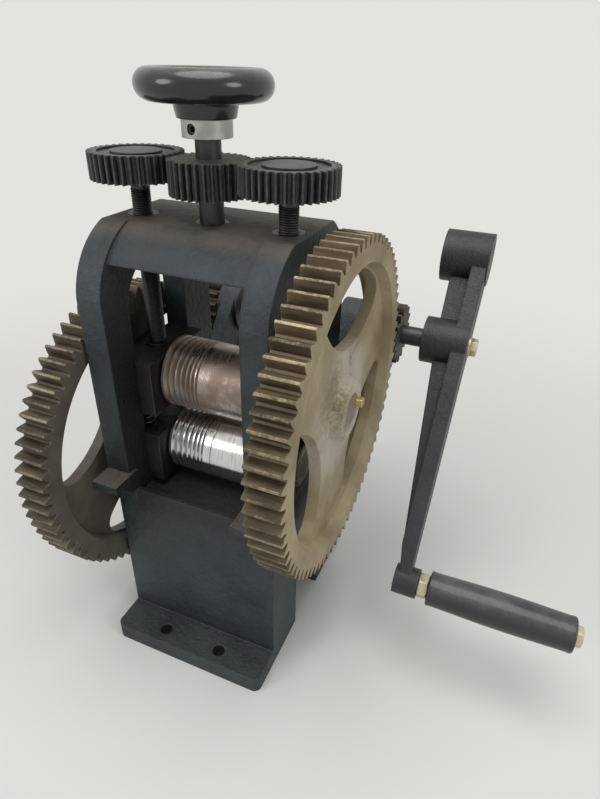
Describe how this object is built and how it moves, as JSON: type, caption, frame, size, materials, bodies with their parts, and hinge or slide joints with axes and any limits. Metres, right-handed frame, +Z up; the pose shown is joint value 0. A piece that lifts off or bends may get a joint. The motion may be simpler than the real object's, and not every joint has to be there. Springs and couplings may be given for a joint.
{
  "type": "jewellers rolling mill",
  "caption": "Bench rolling mill: cast frame, grooved rolls, large spur gears, hand crank with grip, and a top hand wheel geared to the adjusting screws.",
  "frame": {"origin": "middle of the four bench bolt holes, on the bench plane", "axes": "+X along the rolls towards the crank, -Y the feeding side, +Z up"},
  "size_m": [0.3848, 0.3239, 0.4245],
  "materials": {
    "frame_paint": "satin",
    "gear_paint": "satin, worn",
    "roll_steel": "polished, stained",
    "block_iron": "machined, oily",
    "bronze": "bored",
    "dark_steel": "blackened",
    "zinc_steel": "zinc plated",
    "fine_gear_iron": "blackened, oily",
    "crank_paint": "satin",
    "grip_plastic": "gloss",
    "wheel_plastic": "gloss",
    "collar_steel": "brushed"
  },
  "bodies": {
    "frame": {"frame_casting": "frame_paint", "lower_thrust_washers": "bronze", "idler_stub": "dark_steel", "idler_clip": "dark_steel", "centre_bush": "block_iron", "lower_block_left": "block_iron", "lower_bush_left": "bronze", "screw_nut_left": "block_iron", "crank_bush_left": "block_iron", "lift_springs_left": "dark_steel", "lower_block_right": "block_iron", "lower_bush_right": "bronze", "screw_nut_right": "block_iron", "crank_bush_right": "block_iron", "lift_springs_right": "dark_steel"},
    "crank": {"crank_shaft": "dark_steel", "far_pinion": "gear_paint", "shaft_end_cap": "zinc_steel", "crank_arm": "crank_paint", "crank_bolt": "zinc_steel", "crank_washer": "zinc_steel", "handle_nut": "zinc_steel", "handle_bolt": "zinc_steel"},
    "grip": {"handle_grip": "grip_plastic"},
    "idler": {"idler_gear": "gear_paint", "idler_bush": "bronze"},
    "lower_roll": {"lower_roll": "roll_steel", "lower_roll_gear": "gear_paint", "lower_gear_key": "zinc_steel"},
    "upper_roll": {"upper_roll": "roll_steel", "upper_roll_gear": "gear_paint", "upper_gear_key": "zinc_steel"},
    "crank_pinion": {"crank_pinion": "gear_paint"},
    "carriage": {"upper_thrust_washers": "bronze", "upper_block_left": "block_iron", "upper_block_right": "block_iron", "upper_bush_left": "bronze", "upper_bush_right": "bronze", "thrust_pad_left": "dark_steel", "thrust_pad_right": "dark_steel"},
    "left_screw": {"adjusting_screw_left": "dark_steel", "side_gear_left": "fine_gear_iron"},
    "right_screw": {"adjusting_screw_right": "dark_steel", "side_gear_right": "fine_gear_iron"},
    "hand_wheel": {"hand_wheel": "wheel_plastic", "wheel_collar": "collar_steel", "collar_set_screw": "dark_steel", "centre_shaft": "dark_steel", "centre_gear": "fine_gear_iron", "shaft_retainer": "dark_steel"}
  },
  "joints": [
    {"name": "crank_spin", "type": "hinge", "parent": "frame", "child": "crank", "pos_m": [0, 0.124, 0.227], "axis": [1, 0, 0], "continuous": true},
    {"name": "grip_spin", "type": "hinge", "parent": "crank", "child": "grip", "pos_m": [0.22, -0.00587, 0.0802], "axis": [1, 0, 0], "continuous": true},
    {"name": "idler_spin", "type": "hinge", "parent": "frame", "child": "idler", "pos_m": [-0.08, 0.12332, 0.18201], "axis": [1, 0, 0], "continuous": true},
    {"name": "lower_roll_spin", "type": "hinge", "parent": "frame", "child": "lower_roll", "pos_m": [0, -0.011, 0.1685], "axis": [1, 0, 0], "continuous": true},
    {"name": "crank_pinion_turn", "type": "hinge", "parent": "crank", "child": "crank_pinion", "pos_m": [0.085, 0.124, 0.227], "axis": [1, 0, 0], "range_deg": [-7.65, 13.5]},
    {"name": "hand_wheel_turn", "type": "hinge", "parent": "frame", "child": "hand_wheel", "pos_m": [0, -0.011, 0.35], "axis": [0, 0, 1], "range_deg": [-1500, 855]},
    {"name": "carriage_slide", "type": "slide", "parent": "frame", "child": "carriage", "axis": [0, 0, 1], "range_m": [-0.00526, 0.00299], "stiffness_N_per_m": 6000, "springref_m": 0.014, "deforming": ["lift_springs_left", "lift_springs_right"]},
    {"name": "left_screw_turn", "type": "hinge", "parent": "carriage", "child": "left_screw", "pos_m": [-0.0525, -0.011, 0.35], "axis": [0, 0, 1], "range_deg": [-720, 1264]},
    {"name": "right_screw_turn", "type": "hinge", "parent": "carriage", "child": "right_screw", "pos_m": [0.0525, -0.011, 0.35], "axis": [0, 0, 1], "range_deg": [-720, 1264]},
    {"name": "upper_roll_spin", "type": "hinge", "parent": "carriage", "child": "upper_roll", "pos_m": [0, -0.011, 0.227], "axis": [1, 0, 0], "continuous": true}
  ],
  "couplings": [
    {"joint": "idler_spin", "follows": "crank_spin", "ratio": -1},
    {"joint": "lower_roll_spin", "follows": "crank_spin", "ratio": 0.2},
    {"joint": "upper_roll_spin", "follows": "crank_spin", "ratio": -0.2},
    {"joint": "hand_wheel_turn", "follows": "carriage_slide", "rad_per_m": 4974.2},
    {"joint": "left_screw_turn", "follows": "carriage_slide", "rad_per_m": -4188.8},
    {"joint": "right_screw_turn", "follows": "carriage_slide", "rad_per_m": -4188.8},
    {"joint": "crank_pinion_turn", "follows": "carriage_slide", "rad_per_m": -44.444}
  ]
}
